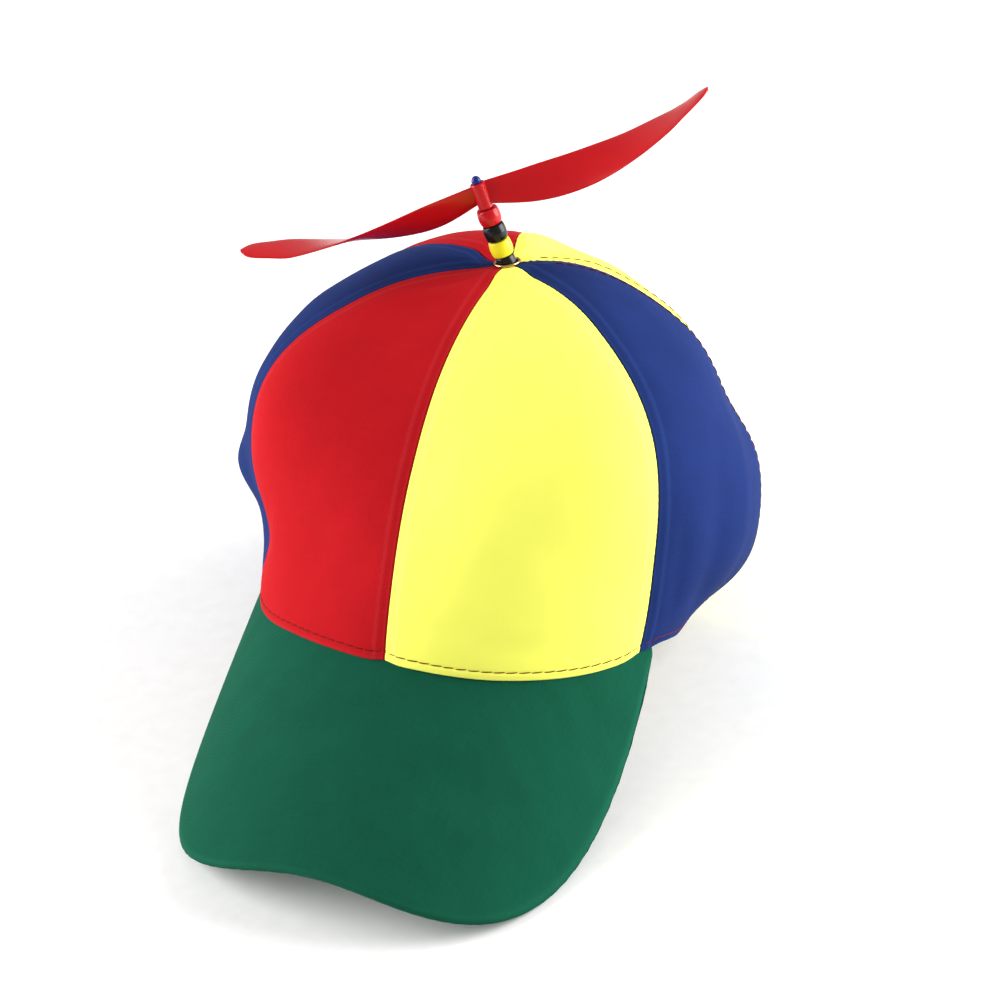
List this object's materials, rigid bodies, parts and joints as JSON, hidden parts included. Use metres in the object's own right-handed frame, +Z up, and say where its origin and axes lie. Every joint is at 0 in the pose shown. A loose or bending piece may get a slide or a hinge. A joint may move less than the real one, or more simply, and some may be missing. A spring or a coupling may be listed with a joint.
{
  "type": "propeller beanie",
  "caption": "Six-panel cotton cap with a bent, drooping peak and a two-bladed propeller that spins on a leaning pin with beads at its top.",
  "frame": {"origin": "on the floor, under the middle of the cap's bounding box, with the cap lying as it rests by itself", "axes": "-Y towards the peak, +X to the right of someone who faces the peak, +Z up"},
  "size_m": [0.2084, 0.2736, 0.2058],
  "materials": {
    "cotton_red": "cotton twill, matt",
    "cotton_yellow": "cotton twill, matt",
    "cotton_blue": "cotton twill, matt",
    "cotton_green": "cotton twill over a board, matt",
    "plastic_red": "moulded, glossy",
    "plastic_yellow": "moulded, glossy",
    "plastic_black": "moulded, glossy",
    "plastic_blue": "moulded, glossy",
    "eyelet_metal": "rolled and polished"
  },
  "bodies": {
    "cap": {"panel_front_yellow": "cotton_yellow", "panel_side_blue_right": "cotton_blue", "panel_back_yellow": "cotton_yellow", "panel_back_red": "cotton_red", "panel_side_blue_left": "cotton_blue", "panel_front_red": "cotton_red", "peak": "cotton_green", "eyelet": "eyelet_metal", "pin": "plastic_blue", "bead_black_lower": "plastic_black", "bead_yellow": "plastic_yellow", "bead_black_upper": "plastic_black", "bead_red": "plastic_red"},
    "propeller": {"propeller": "plastic_red"}
  },
  "joints": [
    {"name": "propeller_spin", "type": "hinge", "parent": "cap", "child": "propeller", "pos_m": [-0.00429, 0.07673, 0.17711], "axis": [-0.2608, 0.0511, 0.964], "continuous": true}
  ]
}
